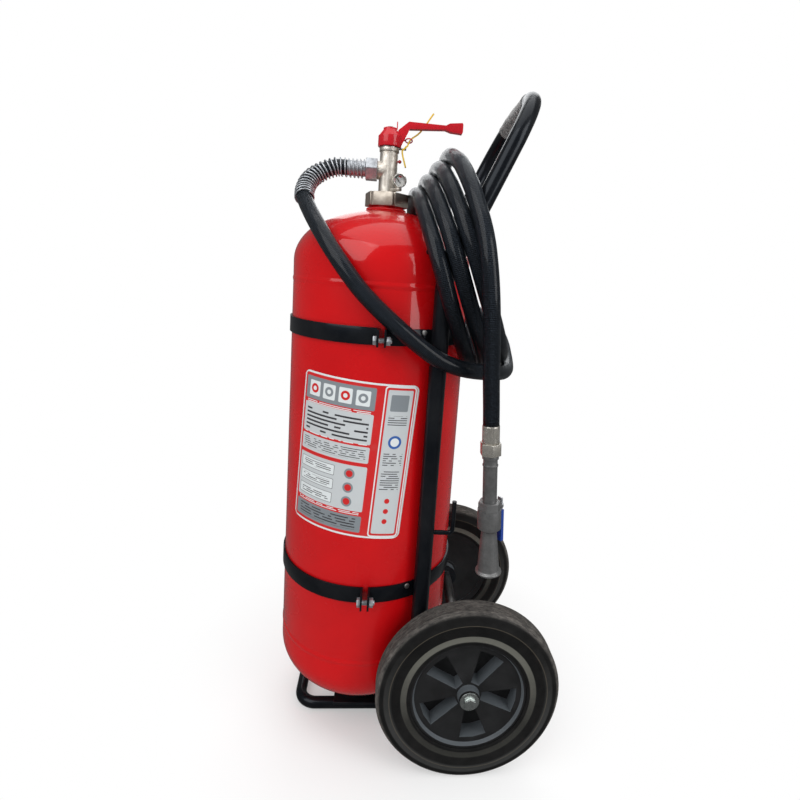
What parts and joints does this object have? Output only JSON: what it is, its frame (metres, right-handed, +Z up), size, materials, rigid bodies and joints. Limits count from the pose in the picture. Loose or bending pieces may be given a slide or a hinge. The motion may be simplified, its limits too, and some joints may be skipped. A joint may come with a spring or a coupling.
{
  "type": "wheeled fire extinguisher",
  "caption": "Wheeled fire extinguisher: a large pressure tank on a two-wheeled tube frame with a lever valve, a coiled hose and a shut-off nozzle.",
  "frame": {"origin": "on the ground, on the tank's axis", "axes": "+Z up along the tank, +Y towards the handle and the wheels, +X towards the nozzle's side"},
  "size_m": [0.4311, 0.479, 1.107],
  "materials": {
    "tank_paint": "gloss",
    "gasket_rubber": "matte",
    "plain_steel": "satin",
    "label_film": "satin",
    "nickel_brass": "satin",
    "brass": "satin",
    "zinc_steel": "satin",
    "lever_paint": "gloss",
    "black_steel": "satin",
    "red_plastic": "gloss",
    "seal_plastic": "satin",
    "chrome_case": "polished",
    "dial_print": "matte",
    "clear_lens": "clear",
    "hose_rubber": "satin",
    "cast_aluminium": "satin",
    "white_seat": "satin",
    "blue_sleeve": "gloss",
    "frame_paint": "satin",
    "wrap_film": "crinkled film",
    "rim_plastic": "satin",
    "tyre_rubber": "matte"
  },
  "bodies": {
    "frame": {"tank": "tank_paint", "neck_ring": "tank_paint", "neck_gasket": "gasket_rubber", "dip_tube": "plain_steel", "label": "label_film", "valve_body": "nickel_brass", "union_nut": "nickel_brass", "gland_nut": "nickel_brass", "stop_plate": "zinc_steel", "bleed_plug": "red_plastic", "gauge_case": "chrome_case", "gauge_dial": "dial_print", "gauge_lens": "clear_lens", "outlet_nut": "zinc_steel", "outlet_ferrule": "zinc_steel", "guard_spring": "zinc_steel", "hose_lead": "hose_rubber", "hose_coil": "hose_rubber", "hose_tail": "hose_rubber", "nozzle_ferrule": "zinc_steel", "nozzle_nut": "zinc_steel", "nozzle_pipe": "cast_aluminium", "nozzle_body": "cast_aluminium", "ball_seats": "white_seat", "nozzle_cone": "cast_aluminium", "left_rail": "frame_paint", "right_rail": "frame_paint", "handle_bow": "frame_paint", "handle_wrap": "wrap_film", "hose_pegs": "frame_paint", "nozzle_hook": "frame_paint", "upper_band": "frame_paint", "lower_band": "frame_paint", "band_bolts": "zinc_steel", "band_nuts": "zinc_steel", "band_rivets": "black_steel", "cross_bar": "frame_paint", "foot_loop": "frame_paint", "base_plate": "frame_paint", "seat_ring": "frame_paint", "axle": "plain_steel", "axle_brackets": "frame_paint", "hub_spacers": "plain_steel", "axle_washers": "zinc_steel", "axle_bolts": "zinc_steel"},
    "left_wheel": {"left_rim": "rim_plastic", "left_tyre": "tyre_rubber"},
    "right_wheel": {"right_rim": "rim_plastic", "right_tyre": "tyre_rubber"},
    "lever": {"valve_lever": "lever_paint", "valve_plug": "brass", "stem_nut": "black_steel"},
    "pin": {"safety_pin": "red_plastic", "seal_strap": "seal_plastic"},
    "needle": {"gauge_needle": "black_steel"},
    "shut_off": {"nozzle_lever": "zinc_steel", "lever_sleeve": "blue_sleeve", "nozzle_stem": "zinc_steel", "nozzle_ball": "chrome_case"}
  },
  "joints": [
    {"name": "left_wheel_spin", "type": "hinge", "parent": "frame", "child": "left_wheel", "pos_m": [0.17451, 0.17696, 0.149], "axis": [1, 0, 0], "continuous": true},
    {"name": "right_wheel_spin", "type": "hinge", "parent": "frame", "child": "right_wheel", "pos_m": [-0.17451, 0.17696, 0.149], "axis": [1, 0, 0], "continuous": true},
    {"name": "valve_turn", "type": "hinge", "parent": "frame", "child": "lever", "pos_m": [0, 0, 0.978], "axis": [0, 0, 1], "range_deg": [-90, 0]},
    {"name": "pin_pull", "type": "slide", "parent": "lever", "child": "pin", "axis": [0, 1, 0], "range_m": [0, 0.025]},
    {"name": "needle_turn", "type": "hinge", "parent": "frame", "child": "needle", "pos_m": [0.024, 0.019, 0.9599], "axis": [0.9511, 0.309, 0], "range_deg": [-60, 60]},
    {"name": "shut_off_turn", "type": "hinge", "parent": "frame", "child": "shut_off", "pos_m": [0.178, 0.18528, 0.46292], "axis": [-0.5736, 0.8172, 0.0571], "range_deg": [0, 90]}
  ]
}
